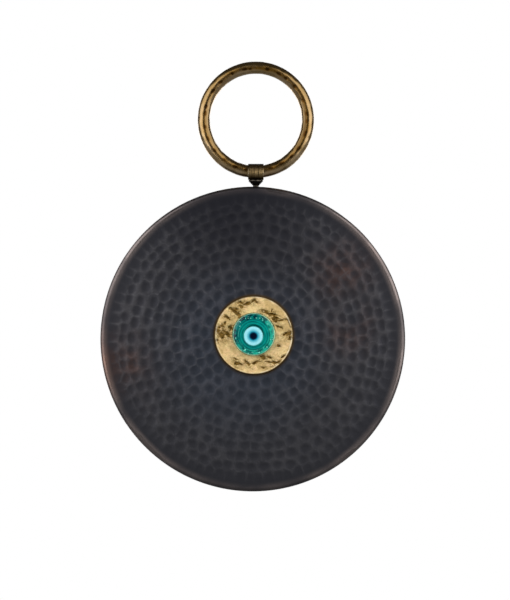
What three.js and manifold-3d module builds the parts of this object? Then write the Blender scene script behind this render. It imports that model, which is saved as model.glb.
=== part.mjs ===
// Evil eye wall ornament: a hammered metal pan with a glass eye set in a brass medallion,
// carried by a strap on a hanging ring.
//
// Millimetres, +Z up, and the face looks along -Y. The origin is the top of the ring's inside,
// where a wall hook carries the ornament. Y = 0 is the middle of the ring's wire. It is made by
// hand, and each shift below says how far a piece sits from the middle of the one that holds it.
import * as THREE from "three";
import { mergeVertices } from "three/addons/utils/BufferGeometryUtils.js";
import Module from "manifold-3d";

const wasm = await Module();
wasm.setup();

// ---- Driving dimensions ----

// Space left between neighbouring pieces that touch on the real ornament.
const GAP = 0.1;

// Hanging ring, a round wire bent into a circle.
const RING_MEAN_R = 34.2;
const RING_WIRE_R = 3.9;

// Strap, a strip bent round the ring's wire and closed under it.
const STRAP_WIDTH = 10.2;
const STRAP_SHEET = 0.8;
const STRAP_BORE_R = 4.45;
const STRAP_FLOOR = 4.45; // from the wire's centre down to the floor inside the strap
const STRAP_SIDE_R = 5.2; // inside radius of the bulging sides below the wire's centre
const STRAP_CORNER_R = 1.2;

// Pan, a shallow dish whose edge is turned back to the wall.
const PAN_R = 100;
const PAN_EDGE_Y = -5;
const PAN_REAR_Y = STRAP_BORE_R + STRAP_SHEET; // so that it and the strap lie against the wall
const PAN_CROWN = 2; // how far the face's middle stands proud of its edge
const PAN_SHEET = 1.2;
const PAN_EDGE_R = 2.6;
const PAN_DROP = 9.8; // from the wire's centre down to the top of the rim
const PAN_SHIFT = -2; // along X, from the ring

// Collar, a turned cone between the strap and the rim.
const COLLAR_R = 4.9;
const COLLAR_NECK_R = 1.9;
const COLLAR_LAND = 0.9;
const COLLAR_NECK = 0.5;
const COLLAR_CHAMFER = 0.2;

// Medallion, a thick brass disc with a pocket for the bead.
const MEDALLION_R = 25.8;
const MEDALLION_THICKNESS = 3.0;
const MEDALLION_SHIFT = [0.7, 2.6]; // along X and Z, in the pan
const MEDALLION_CHAMFER = 0.5;
const POCKET_R = 14.2;
const POCKET_DEPTH = 1.2;

// Glass eye: a bead, with three discs of glass let into each other.
const ADHESIVE = 0.2;
const BEAD_R = 13.9;
const BEAD_HEIGHT = 6.2;
const BEAD_EDGE_R = 2.2;
const BEAD_CROWN = 0.5;
const BEAD_SHIFT = [0, 0.6]; // along X and Z, in the medallion
const EYE_SHIFT = [-0.3, -1.1]; // along X and Z, in the bead
const EYE_FLAT_R = 8; // the bead's level top, wide enough for the shifted eye
const EYE_LAYERS = [
  // name, radius, how far it is let in, how far it stands proud, colour
  { name: "iris_disc", r: 6.4, sink: 1.8, rise: 0.2, color: 0xbfe9f5 },
  { name: "iris_inner", r: 4.0, sink: 1.1, rise: 0.1, color: 0x2f9fc6 },
  { name: "pupil", r: 2.3, sink: 0.5, rise: 0.1, color: 0x060a22 },
];

// Fasteners: thread, head, washer and nut of each of the two screws.
const HANGER = {
  threadR: 1.0, holeR: 1.1, length: 10, headR: 1.9, headHeight: 0.9,
  washerR: 2.5, washerSheet: 0.4, nutFlat: 4.0, nutHeight: 1.6,
};
const CENTRE = {
  threadR: 1.5, holeR: 1.65, length: 8, headR: 2.8, headHeight: 1.3,
  washerR: 3.5, washerSheet: 0.5, nutFlat: 5.5, nutHeight: 2.4,
};
const HEAD_LAND = 0.2; // straight edge of a countersunk head, above its cone
const DRIVE_SLOT = 0.6;
const NUT_BORE_GAP = 0.05;

// Facets round a full turn.
const RING_FACETS = 72;
const WIRE_FACETS = 16;
const PAN_FACETS = 96;
const MEDALLION_FACETS = 72;
const BEAD_FACETS = 56;
const SMALL_FACETS = 24;
const ARC_STEPS = 4;

// ---- Places that follow from them ----

const RING_CENTRE_Z = -(RING_MEAN_R - RING_WIRE_R);
const WIRE_Z = RING_CENTRE_Z - RING_MEAN_R; // the wire's centre inside the strap
const PAN_Z = WIRE_Z - PAN_DROP - PAN_R;
const MEDALLION_BACK_Y = PAN_EDGE_Y - PAN_CROWN - GAP;
const MEDALLION_FRONT_Y = MEDALLION_BACK_Y - MEDALLION_THICKNESS;
const POCKET_Y = MEDALLION_FRONT_Y + POCKET_DEPTH;
const BEAD_BACK_Y = POCKET_Y - ADHESIVE - GAP;
const BEAD_FRONT_Y = BEAD_BACK_Y - BEAD_HEIGHT;

// ---- Geometry helpers ----

// Points of an arc about (cx, cy), from angle a to angle b in degrees.
function arc(cx, cy, r, a, b, steps = ARC_STEPS) {
  return Array.from({ length: steps + 1 }, (_, i) => {
    const t = THREE.MathUtils.degToRad(a + ((b - a) * i) / steps);
    return [cx + r * Math.cos(t), cy + r * Math.sin(t)];
  });
}

// A body turned about the Y axis from [radius, y] points. Its outline runs anticlockwise
// when radius points right and y points up.
function turned(points, facets) {
  const onAxis = points[0][0] === 0;
  const outline = onAxis ? points : [...points, points[0]];
  return new THREE.LatheGeometry(outline.map(([r, y]) => new THREE.Vector2(r, y)), facets);
}

// A plain cylinder or, with a bore, a ring, between two heights on the Y axis.
function disc(r, low, high, facets, bore = 0) {
  return turned([[bore, low], [r, low], [r, high], [bore, high]], facets);
}

function toSolid(geometry) {
  const bare = geometry.clone();
  bare.deleteAttribute("normal");
  bare.deleteAttribute("uv");
  const merged = mergeVertices(bare);
  return new wasm.Manifold(
    new wasm.Mesh({
      numProp: 3,
      vertProperties: new Float32Array(merged.attributes.position.array),
      triVerts: new Uint32Array(merged.index.array),
    }),
  );
}

function toGeometry(solid) {
  const { vertProperties, triVerts } = solid.getMesh();
  const geometry = new THREE.BufferGeometry();
  geometry.setAttribute("position", new THREE.BufferAttribute(vertProperties, 3));
  geometry.setIndex(new THREE.BufferAttribute(triVerts, 1));
  geometry.computeVertexNormals();
  return geometry;
}

// The first geometry with every other one cut out of it.
function cut(geometry, ...tools) {
  return toGeometry(tools.reduce((left, tool) => left.subtract(toSolid(tool)), toSolid(geometry)));
}

// Moves a cutting tool by a shift along X and Z.
const shifted = (geometry, [x, z]) => geometry.translate(x, 0, z);

// Turns a body made about the Y axis so that its +Y end points along +Z.
const upright = (geometry) => geometry.rotateX(Math.PI / 2);

// ---- Materials ----

const MATERIALS = {
  agedBrass: new THREE.MeshStandardMaterial({ color: 0x7d6132, metalness: 1, roughness: 0.34 }),
  darkCopper: new THREE.MeshStandardMaterial({ color: 0x38363c, metalness: 1, roughness: 0.42 }),
  darkBronze: new THREE.MeshStandardMaterial({ color: 0x4a463c, metalness: 1, roughness: 0.36 }),
  goldBrass: new THREE.MeshStandardMaterial({ color: 0xd2b678, metalness: 1, roughness: 0.4 }),
  steel: new THREE.MeshStandardMaterial({ color: 0x9a9a98, metalness: 1, roughness: 0.35 }),
  adhesive: new THREE.MeshStandardMaterial({ color: 0xd9d2ba, metalness: 0, roughness: 0.5 }),
  tealGlass: new THREE.MeshStandardMaterial({ color: 0x0c8a78, metalness: 0, roughness: 0.08 }),
};

function part(name, geometry, material) {
  const mesh = new THREE.Mesh(geometry, material);
  mesh.name = name;
  return mesh;
}

// A group of pieces, shifted along X and Z.
function groupAt([x, z], pieces) {
  const group = new THREE.Group();
  group.position.set(x, 0, z);
  return group.add(...pieces);
}

// ---- Ring and its strap ----

function hangingRing() {
  const wire = arc(RING_MEAN_R, 0, RING_WIRE_R, 0, 360, WIRE_FACETS).slice(0, -1);
  const ring = part("hanging_ring", turned(wire, RING_FACETS), MATERIALS.agedBrass);
  ring.position.z = RING_CENTRE_Z;
  return ring;
}

// The strap's side view, at a distance outside its inner skin: a half circle over the wire,
// then bulging sides that turn in tighter corners to a flat floor.
function strapOutline(path, out) {
  const r = STRAP_BORE_R + out;
  const sideR = STRAP_SIDE_R + out;
  const cornerR = STRAP_CORNER_R + out;
  const cornerY = cornerR - STRAP_FLOOR - out;
  const bend = Math.asin(-cornerY / (sideR - cornerR)); // how far a side turns before its corner
  const cornerX = r - sideR + (sideR - cornerR) * Math.cos(bend);
  path.moveTo(r, 0);
  path.absarc(0, 0, r, 0, Math.PI, false);
  path.absarc(sideR - r, 0, sideR, Math.PI, Math.PI + bend, false);
  path.absarc(-cornerX, cornerY, cornerR, Math.PI + bend, 1.5 * Math.PI, false);
  path.absarc(cornerX, cornerY, cornerR, -0.5 * Math.PI, -bend, false);
  path.absarc(r - sideR, 0, sideR, -bend, 0, false);
  return path;
}

function ringStrap() {
  const side = strapOutline(new THREE.Shape(), STRAP_SHEET);
  side.holes.push(strapOutline(new THREE.Path(), 0));
  const strip = new THREE.ExtrudeGeometry(side, {
    depth: STRAP_WIDTH,
    bevelEnabled: false,
    curveSegments: 2 * ARC_STEPS,
  });
  strip.translate(0, 0, -STRAP_WIDTH / 2);
  // The side view's x and y become Y and Z, and its depth lies along X.
  strip.applyMatrix4(
    new THREE.Matrix4().makeBasis(
      new THREE.Vector3(0, 1, 0),
      new THREE.Vector3(0, 0, 1),
      new THREE.Vector3(1, 0, 0),
    ),
  );
  // The screw's seat, a 90 degree cone that opens upwards through the floor.
  const seatTop = STRAP_SHEET;
  const seatBottom = -2 * STRAP_SHEET;
  const seatR = HANGER.headR + GAP;
  const seat = turned(
    [
      [0, seatBottom],
      [seatR + seatBottom, seatBottom],
      [seatR + seatTop, seatTop],
      [0, seatTop],
    ],
    SMALL_FACETS,
  );
  return part("ring_strap", cut(strip, upright(seat.translate(0, -STRAP_FLOOR, 0))), MATERIALS.agedBrass);
}

// ---- Fasteners, made about the Y axis with the head's top at y = 0 and the tip at -length ----

function slotTool(headR, depth) {
  return new THREE.BoxGeometry(3 * headR, 2 * depth, DRIVE_SLOT);
}

function countersunkScrew({ threadR, length, headR, headHeight }) {
  const body = turned(
    [
      [0, -length],
      [threadR - 0.2, -length],
      [threadR, -length + 0.2],
      [threadR, -headHeight - HEAD_LAND],
      [headR, -HEAD_LAND],
      [headR, 0],
      [0, 0],
    ],
    SMALL_FACETS,
  );
  return cut(body, slotTool(headR, headHeight / 2));
}

// A hexagonal nut from y = 0 down, with the corners of both faces chamfered.
function nut({ threadR, nutFlat, nutHeight }) {
  const cornerR = nutFlat / Math.sqrt(3);
  const chamfer = cornerR - nutFlat / 2;
  const round = turned(
    [
      [0, -nutHeight],
      [nutFlat / 2, -nutHeight],
      [cornerR, -nutHeight + chamfer],
      [cornerR, -chamfer],
      [nutFlat / 2, 0],
      [0, 0],
    ],
    SMALL_FACETS,
  );
  const hexagon = disc(cornerR, -nutHeight, 0, 6);
  const bore = disc(threadR + NUT_BORE_GAP, -2 * nutHeight, nutHeight, SMALL_FACETS);
  return toGeometry(toSolid(hexagon).intersect(toSolid(round)).subtract(toSolid(bore)));
}

function washer({ washerR, washerSheet, holeR }) {
  return disc(washerR, -washerSheet, 0, SMALL_FACETS, holeR);
}

// ---- Hanger under the strap, about the vertical axis through the wire's centre ----

function collar(top, bottom) {
  return turned(
    [
      [HANGER.holeR, bottom],
      [COLLAR_NECK_R, bottom],
      [COLLAR_NECK_R, bottom + COLLAR_NECK],
      [COLLAR_R, top - COLLAR_LAND],
      [COLLAR_R, top - COLLAR_CHAMFER],
      [COLLAR_R - COLLAR_CHAMFER, top],
      [HANGER.holeR, top],
    ],
    2 * SMALL_FACETS,
  );
}

function hanger() {
  const headTop = -STRAP_FLOOR + HEAD_LAND;
  const collarTop = -STRAP_FLOOR - STRAP_SHEET - GAP;
  const collarBottom = -PAN_DROP + GAP;
  const washerTop = -PAN_DROP - PAN_SHEET - 2 * GAP;
  const nutTop = washerTop - HANGER.washerSheet - GAP;

  const screw = part("hanger_screw", upright(countersunkScrew(HANGER)), MATERIALS.steel);
  screw.position.z = headTop;
  const cone = part("hanger_collar", upright(collar(collarTop, collarBottom)), MATERIALS.darkBronze);
  const ringWasher = part("hanger_washer", upright(washer(HANGER)), MATERIALS.steel);
  ringWasher.position.z = washerTop;
  const ringNut = part("hanger_nut", upright(nut(HANGER)), MATERIALS.steel);
  ringNut.position.z = nutTop;

  return groupAt([0, WIRE_Z], [ringStrap(), screw, cone, ringWasher, ringNut]);
}

// ---- Pan, about the Y axis through its own centre ----

// The face's height over its edge at a radius: a shallow parabola that meets the edge level.
const crown = (r) => PAN_CROWN * (1 - (r / (PAN_R - PAN_EDGE_R)) ** 2);

// Points along the face from one radius to another, offset back from the front skin.
function faceLine(from, to, back, steps) {
  return Array.from({ length: steps + 1 }, (_, i) => {
    const r = from + ((to - from) * i) / steps;
    return [r, PAN_EDGE_Y - crown(r) + back];
  });
}

function facePan() {
  const edgeR = PAN_R - PAN_EDGE_R;
  const edgeY = PAN_EDGE_Y + PAN_EDGE_R;
  const innerEdgeR = PAN_EDGE_R - PAN_SHEET;
  const outline = [
    ...faceLine(0, edgeR, 0, 6),
    ...arc(edgeR, edgeY, PAN_EDGE_R, -90, 0).slice(1),
    [PAN_R, PAN_REAR_Y],
    [PAN_R - PAN_SHEET, PAN_REAR_Y],
    ...arc(edgeR, edgeY, innerEdgeR, 0, -90, 3),
    ...faceLine(edgeR, 0, PAN_SHEET, 5).slice(1),
  ];
  const rimHole = upright(disc(HANGER.holeR, PAN_R - 5 * PAN_SHEET, PAN_R + PAN_SHEET, SMALL_FACETS));
  const centreHole = disc(CENTRE.holeR, 2 * PAN_EDGE_Y, PAN_REAR_Y, SMALL_FACETS);
  const body = cut(
    turned(outline, PAN_FACETS),
    rimHole.translate(-PAN_SHIFT, 0, 0),
    shifted(centreHole, MEDALLION_SHIFT),
  );
  return part("face_pan", body, MATERIALS.darkCopper);
}

// ---- Medallion, about the Y axis through its own centre ----

function medallion() {
  const blank = turned(
    [
      [0, MEDALLION_FRONT_Y],
      [MEDALLION_R - MEDALLION_CHAMFER, MEDALLION_FRONT_Y],
      [MEDALLION_R, MEDALLION_FRONT_Y + MEDALLION_CHAMFER],
      [MEDALLION_R, MEDALLION_BACK_Y],
      [0, MEDALLION_BACK_Y],
    ],
    MEDALLION_FACETS,
  );
  const pocket = disc(POCKET_R, MEDALLION_FRONT_Y - 1, POCKET_Y, MEDALLION_FACETS);
  const { holeR, headR, headHeight } = CENTRE;
  const seatR = headR + GAP;
  const seat = turned(
    [
      [0, MEDALLION_FRONT_Y],
      [seatR, MEDALLION_FRONT_Y],
      [seatR, POCKET_Y + 0.2],
      [holeR, POCKET_Y + headHeight + 0.2],
      [holeR, MEDALLION_BACK_Y + 1],
      [0, MEDALLION_BACK_Y + 1],
    ],
    SMALL_FACETS,
  );
  return part("medallion", cut(blank, shifted(pocket, BEAD_SHIFT), seat), MATERIALS.goldBrass);
}

// The heads point forward, along -Y, so these fasteners are turned end for end.
function medallionFasteners() {
  const backward = (geometry) => geometry.rotateX(Math.PI);
  const screw = part("medallion_screw", backward(countersunkScrew(CENTRE)), MATERIALS.steel);
  screw.position.y = POCKET_Y + GAP / 2;
  const washerY = PAN_EDGE_Y - PAN_CROWN + PAN_SHEET + GAP;
  const backWasher = part("medallion_washer", backward(washer(CENTRE)), MATERIALS.steel);
  backWasher.position.y = washerY;
  const backNut = part("medallion_nut", backward(nut(CENTRE)), MATERIALS.steel);
  backNut.position.y = washerY + CENTRE.washerSheet + GAP;
  return [screw, backWasher, backNut];
}

// ---- Glass eye: the bead about its own Y axis, the eye's layers about theirs ----

// The bead's rounded slab, level on top where the eye is let in.
function beadBody() {
  const [iris] = EYE_LAYERS;
  const domeY = BEAD_FRONT_Y - BEAD_CROWN;
  const edgeR = BEAD_R - BEAD_EDGE_R;
  const slab = turned(
    [
      [0, domeY],
      [EYE_FLAT_R, domeY],
      [(EYE_FLAT_R + edgeR) / 2, domeY + BEAD_CROWN / 3],
      ...arc(edgeR, BEAD_FRONT_Y + BEAD_EDGE_R, BEAD_EDGE_R, -90, 0),
      [BEAD_R, BEAD_BACK_Y - 1],
      [BEAD_R - 1, BEAD_BACK_Y],
      [0, BEAD_BACK_Y],
    ],
    BEAD_FACETS,
  );
  const socket = disc(iris.r + GAP, domeY - 1, domeY + iris.sink + GAP, BEAD_FACETS);
  return part("bead_body", cut(slab, shifted(socket, EYE_SHIFT)), MATERIALS.tealGlass);
}

// One layer of the eye: a low disc let into the layer around it, with a socket for the next.
function eyeLayer(layer, next) {
  const frontY = BEAD_FRONT_Y - BEAD_CROWN;
  const backY = frontY + layer.sink;
  const socket = next
    ? [
        [0, frontY + next.sink + GAP],
        [next.r + GAP, frontY + next.sink + GAP],
        [next.r + GAP, frontY - layer.rise],
      ]
    : [[0, frontY - 2 * layer.rise]];
  const edge = [
    [layer.r - layer.rise, frontY - layer.rise],
    [layer.r, frontY],
    [layer.r, backY],
    [0, backY],
  ];
  const glass = new THREE.MeshStandardMaterial({ color: layer.color, metalness: 0, roughness: 0.06 });
  return part(layer.name, turned([...socket, ...edge], BEAD_FACETS), glass);
}

function glassEye() {
  const bed = disc(BEAD_R - 1.5, POCKET_Y - ADHESIVE - GAP / 2, POCKET_Y - GAP / 2, BEAD_FACETS);
  const layers = EYE_LAYERS.map((layer, i) => eyeLayer(layer, EYE_LAYERS[i + 1]));
  const eye = groupAt(EYE_SHIFT, layers);
  return groupAt(BEAD_SHIFT, [part("bead_adhesive", bed, MATERIALS.adhesive), beadBody(), eye]);
}

// ---- Assembly ----

const badge = groupAt(MEDALLION_SHIFT, [medallion(), ...medallionFasteners(), glassEye()]);
const dial = groupAt([PAN_SHIFT, PAN_Z], [facePan(), badge]);
const ornament = groupAt([0, 0], [hangingRing(), hanger(), dial]);

export default ornament;
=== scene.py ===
"""Looks of the evil eye wall ornament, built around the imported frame.

Shapes are worked out in millimetres, in the frame's own axes, and become metres when a piece is
made. The face looks along -Y. A turned shape is a list of (radius, height) points, with its
height along the axis that it is turned about.
"""

import itertools
import math
from types import SimpleNamespace

import bmesh
import bpy
import numpy as np
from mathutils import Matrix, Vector


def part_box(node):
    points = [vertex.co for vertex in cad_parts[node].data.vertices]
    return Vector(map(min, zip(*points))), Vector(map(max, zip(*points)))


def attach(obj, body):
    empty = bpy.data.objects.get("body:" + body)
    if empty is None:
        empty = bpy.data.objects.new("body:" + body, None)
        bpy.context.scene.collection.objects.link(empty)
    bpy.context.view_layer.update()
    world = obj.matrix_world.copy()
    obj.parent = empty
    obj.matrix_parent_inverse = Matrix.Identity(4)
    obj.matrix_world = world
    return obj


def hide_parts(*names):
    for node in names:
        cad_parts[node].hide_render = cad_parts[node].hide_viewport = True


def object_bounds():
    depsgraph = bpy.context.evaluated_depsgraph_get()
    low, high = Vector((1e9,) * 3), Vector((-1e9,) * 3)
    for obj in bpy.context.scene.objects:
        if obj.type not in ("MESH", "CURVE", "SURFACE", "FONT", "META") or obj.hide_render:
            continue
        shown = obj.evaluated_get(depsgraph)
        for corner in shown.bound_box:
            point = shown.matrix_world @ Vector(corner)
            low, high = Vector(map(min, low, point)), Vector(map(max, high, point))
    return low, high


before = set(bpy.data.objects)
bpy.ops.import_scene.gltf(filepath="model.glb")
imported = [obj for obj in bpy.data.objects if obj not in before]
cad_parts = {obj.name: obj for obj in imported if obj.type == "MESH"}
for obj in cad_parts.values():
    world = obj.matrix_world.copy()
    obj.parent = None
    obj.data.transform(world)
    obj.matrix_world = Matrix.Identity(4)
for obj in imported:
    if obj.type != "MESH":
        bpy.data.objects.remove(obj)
CAD_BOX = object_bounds()

MM = 0.001

# Which coordinate runs along each axis that a shape is turned about.
COLUMN = {"Y": 1, "Z": 2}


# ---- Places and sizes ----


def box_mm(node):
    """Lowest and highest corners of a CAD node, in millimetres."""
    low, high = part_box(node)
    return np.array(low) / MM, np.array(high) / MM


def middle(node):
    low, high = box_mm(node)
    return (low + high) / 2


def half_width(node):
    """Half of a CAD node's width along X, which is a round one's radius."""
    low, high = box_mm(node)
    return (high[0] - low[0]) / 2


WHOLE_MIDDLE = (np.array(CAD_BOX[0]) + np.array(CAD_BOX[1])) / 2 / MM

PAN_LOW, PAN_HIGH = box_mm("face_pan")
PAN_MIDDLE = middle("face_pan")
PAN_R = half_width("face_pan")
PAN_CROWN = 2.0
PAN_SHEET = 1.2
PAN_EDGE_R = 2.6
PAN_EDGE_Y = PAN_LOW[1] + PAN_CROWN

MEDALLION_LOW, MEDALLION_HIGH = box_mm("medallion")
MEDALLION_MIDDLE = middle("medallion")
MEDALLION_R = half_width("medallion")
POCKET_R = 14.2
POCKET_DEPTH = 1.2

BEAD_LOW, BEAD_HIGH = box_mm("bead_body")
BEAD_MIDDLE = middle("bead_body")
BEAD_R = half_width("bead_body")
EYE_MIDDLE = middle("iris_disc")
EYE_FRONT_Y = box_mm("iris_disc")[0][1]

# (x, z) of the medallion's screw hole from the pan's middle, and of its pocket from its own middle.
HOLE_PLACE = (MEDALLION_MIDDLE - PAN_MIDDLE)[[0, 2]]
POCKET_PLACE = (BEAD_MIDDLE - MEDALLION_MIDDLE)[[0, 2]]

RING_LOW, RING_HIGH = box_mm("hanging_ring")
RING_MIDDLE = middle("hanging_ring")
WIRE_R = (RING_HIGH[1] - RING_LOW[1]) / 2
RING_MEAN_R = half_width("hanging_ring") - WIRE_R
HANGER_AXIS = (0.0, 0.0, 0.0)

# Each size of countersunk screw, with its nut and the holes that it goes through.
M2 = SimpleNamespace(shank_r=0.98, head_r=1.9, head=0.9, pitch=0.4, flats=4.0, bore_r=1.02, hole_r=1.1)
M3 = SimpleNamespace(shank_r=1.48, head_r=2.8, head=1.3, pitch=0.5, flats=5.5, bore_r=1.52, hole_r=1.65)


# ---- Noise ----


class Noise:
    """Smooth seeded noise in space, from about -1 to 1."""

    SIDE = 32

    def __init__(self, seed):
        self.lattice = np.random.default_rng(seed).uniform(-1, 1, (self.SIDE,) * 3)

    def sample(self, points):
        low = np.floor(points).astype(int)
        part = points - low
        part = part * part * (3 - 2 * part)
        total = np.zeros(len(points))
        for corner in itertools.product((0, 1), repeat=3):
            index = (low + corner) % self.SIDE
            weight = np.prod(np.where(corner, part, 1 - part), axis=1)
            total += weight * self.lattice[tuple(index.T)]
        return total

    def __call__(self, points, size, octaves=1):
        """size is the width of the largest lumps. Points on a plane are (x, z) alone."""
        scaled = np.zeros((len(points), 3))
        scaled[:, : points.shape[1]] = points / size
        return sum(self.sample(scaled * 2**k + 5.7 * k) / 2**k for k in range(octaves))


def smoothstep(low, high, value):
    """0 at low and beyond, 1 at high and beyond, and smooth between them."""
    t = np.clip((value - low) / (high - low), 0, 1)
    return t * t * (3 - 2 * t)


def bell(value):
    """A smooth hump: 1 where the value is 0, and almost 0 past 2."""
    return np.exp(-(value**2))


# ---- Making pieces ----

SHARP_ANGLE = 40
CORNER_SPACING = 2.01


def round_angles(count):
    """Angles at even steps right round a circle."""
    return np.arange(count) * 2 * math.pi / count


def loose_angles(rng, count, jitter):
    """The same from a random start, each off by up to jitter times a step."""
    return (np.arange(count) + rng.uniform(-jitter, jitter, count) + rng.uniform()) * 2 * math.pi / count


def add_object(name, data):
    made = bpy.data.objects.new(name, data)
    bpy.context.scene.collection.objects.link(made)
    return made


def new_piece(name, points, faces, attributes=None, sharp_angle=SHARP_ANGLE):
    """A smooth-shaded mesh object from points in millimetres, its faces turned outward."""
    mesh = bpy.data.meshes.new(name)
    mesh.from_pydata((np.asarray(points) * MM).tolist(), [], faces)
    for key, values in (attributes or {}).items():
        layer = mesh.attributes.new(key, "FLOAT", "POINT")
        layer.data.foreach_set("value", np.asarray(values, np.float32))
    work = bmesh.new()
    work.from_mesh(mesh)
    bmesh.ops.recalc_face_normals(work, faces=work.faces)
    work.to_mesh(mesh)
    work.free()
    mesh.shade_smooth()
    mesh.set_sharp_from_angle(angle=math.radians(sharp_angle))
    return add_object(name, mesh)


def placed(flat, y, origin):
    """Points in the frame from (x, z) round an origin, and y."""
    return np.stack([origin[0] + flat[:, 0], y, origin[2] + flat[:, 1]], axis=1)


def grid_faces(rows, columns, closed_rows=False):
    """Quads of a grid whose columns run right round, and whose rows may too."""
    faces = []
    for i in range(rows if closed_rows else rows - 1):
        below, above = i * columns, (i + 1) % rows * columns
        for j in range(columns):
            k = (j + 1) % columns
            faces.append((below + j, below + k, above + k, above + j))
    return faces


def loop_piece(name, points, columns, attributes=None, sharp_angle=SHARP_ANGLE):
    """A ring-shaped piece from rows of points, each row and the rows themselves running right round."""
    faces = grid_faces(len(points) // columns, columns, closed_rows=True)
    return new_piece(name, points, faces, attributes, sharp_angle)


def capped_faces(rows, columns):
    """A grid's quads, with a fan to one more point at each end: the first row's, then the last's."""
    start, end = rows * columns, rows * columns + 1
    last = (rows - 1) * columns
    fans = []
    for j in range(columns):
        k = (j + 1) % columns
        fans.append((start, k, j))
        fans.append((end, last + j, last + k))
    return grid_faces(rows, columns) + fans


def rounded(profile, radius, steps=3):
    """The open outline with each inner corner cut to a curve, at most radius from the corner.

    Curves at neighbouring corners stop just short of meeting.
    """
    points = [np.array(p, float) for p in profile]
    out = [points[0]]
    for before, corner, after in zip(points, points[1:], points[2:]):
        to_before, to_after = before - corner, after - corner
        length_before, length_after = np.linalg.norm(to_before), np.linalg.norm(to_after)
        reach = min(radius, length_before / CORNER_SPACING, length_after / CORNER_SPACING)
        a = corner + to_before / length_before * reach
        b = corner + to_after / length_after * reach
        for t in np.linspace(0, 1, steps + 1):
            out.append((1 - t) ** 2 * a + 2 * t * (1 - t) * corner + t**2 * b)
    out.append(points[-1])
    return np.array(out)


def dense(profile, step):
    """The outline with points added, so that none is further than step from the next."""
    points = np.asarray(profile, float)
    out = [points[0]]
    for a, b in zip(points, points[1:]):
        count = max(1, math.ceil(np.linalg.norm(b - a) / step))
        out.extend(a + (b - a) * k / count for k in range(1, count + 1))
    return np.array(out)


def axis_points(radius, angle, height, centre, axis):
    """Points at a radius and angle about an axis, Y or Z, through a centre; height is absolute."""
    across = radius * np.cos(angle)
    along = radius * np.sin(angle)
    if axis == "Y":
        return np.stack([centre[0] + across, height + 0 * across, centre[2] + along], axis=-1)
    return np.stack([centre[0] + across, centre[1] + along, height + 0 * across], axis=-1)


def turned(name, profile, centre, axis, segments, closed=False, swell=None):
    """A body turned from (radius, height) points. An open outline starts and ends on the axis.

    swell(angle, height) gives what is added to the radius.
    """
    profile = np.asarray(profile, float)
    inner = profile if closed else profile[1:-1]
    radius = np.repeat(inner[:, :1], segments, axis=1)
    height = np.repeat(inner[:, 1:], segments, axis=1)
    angle = np.repeat(round_angles(segments)[None], len(inner), axis=0)
    if swell:
        radius = radius + swell(angle, height)
    points = axis_points(radius, angle, height, centre, axis).reshape(-1, 3)
    if closed:
        return loop_piece(name, points, segments)
    ends = [axis_points(0.0, 0.0, profile[k, 1], centre, axis) for k in (0, -1)]
    return new_piece(name, np.vstack([points, *ends]), capped_faces(len(inner), segments))


def finish_piece(piece, material, node, body="ornament"):
    """Gives a piece its material, and its place in the frame."""
    piece.data.materials.append(material)
    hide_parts(node)
    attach(piece, body)


def cut_hole(piece, centre, radius, axis, reach):
    """Drills a round hole through a piece, along an axis, reach millimetres to each side of centre."""
    start, end = centre[COLUMN[axis]] - reach, centre[COLUMN[axis]] + reach
    outline = [(0, start), (radius, start), (radius, end), (0, end)]
    cut(piece, turned("drill", outline, centre, axis, 48))


def cut(piece, tool):
    """Takes the tool's shape out of a piece, and the tool out of the scene."""
    modifier = piece.modifiers.new("cut", "BOOLEAN")
    modifier.operation = "DIFFERENCE"
    modifier.solver = "MANIFOLD"
    modifier.object = tool
    depsgraph = bpy.context.evaluated_depsgraph_get()
    mesh = bpy.data.meshes.new_from_object(piece.evaluated_get(depsgraph))
    piece.modifiers.clear()
    mesh.materials.clear()
    piece.data = mesh
    bpy.data.objects.remove(tool)
    mesh.set_sharp_from_angle(angle=math.radians(SHARP_ANGLE))


# ---- Making materials ----


class Nodes:
    """Makes and links the nodes of a tree. The name of a mesh attribute can stand for its socket."""

    def __init__(self, owner):
        owner.use_nodes = True
        self.data = owner
        self.tree = owner.node_tree

    def node(self, kind, **settings):
        made = self.tree.nodes.new(kind)
        for key, value in settings.items():
            setattr(made, key, value)
        return made

    def link(self, source, target):
        """Feeds a socket from another or from an attribute, or sets it to a number or a colour."""
        if isinstance(source, str):
            source = self.node("ShaderNodeAttribute", attribute_name=source).outputs["Fac"]
        if isinstance(source, (int, float)):
            target.default_value = source
        elif isinstance(source, tuple):
            target.default_value = (*source, 1.0)[: len(target.default_value)]
        else:
            self.tree.links.new(source, target)

    def math(self, operation, a, b=0.0, clamp=False):
        made = self.node("ShaderNodeMath", operation=operation, use_clamp=clamp)
        self.link(a, made.inputs[0])
        self.link(b, made.inputs[1])
        return made.outputs[0]

    def times(self, a, b):
        return self.math("MULTIPLY", a, b)

    def span(self, value, low, high, to_low=0.0, to_high=1.0):
        """The value, stretched from one span to another and held inside it."""
        made = self.node("ShaderNodeMapRange", interpolation_type="SMOOTHSTEP")
        for key, number in zip(range(1, 5), (low, high, to_low, to_high)):
            made.inputs[key].default_value = number
        self.link(value, made.inputs[0])
        return made.outputs[0]

    def mix(self, factor, a, b):
        made = self.node("ShaderNodeMix", data_type="RGBA")
        self.link(factor, made.inputs["Factor"])
        self.link(a, made.inputs[6])
        self.link(b, made.inputs[7])
        return made.outputs[2]

    def ramp(self, value, stops):
        """A colour for each value between the stops, a list of (place, colour)."""
        made = self.node("ShaderNodeValToRGB")
        elements = made.color_ramp.elements
        while len(elements) < len(stops):
            elements.new(0.5)
        for element, (place, color) in zip(elements, stops):
            element.position = place
            element.color = (*color, 1)
        self.link(value, made.inputs["Fac"])
        return made.outputs["Color"]


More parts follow.
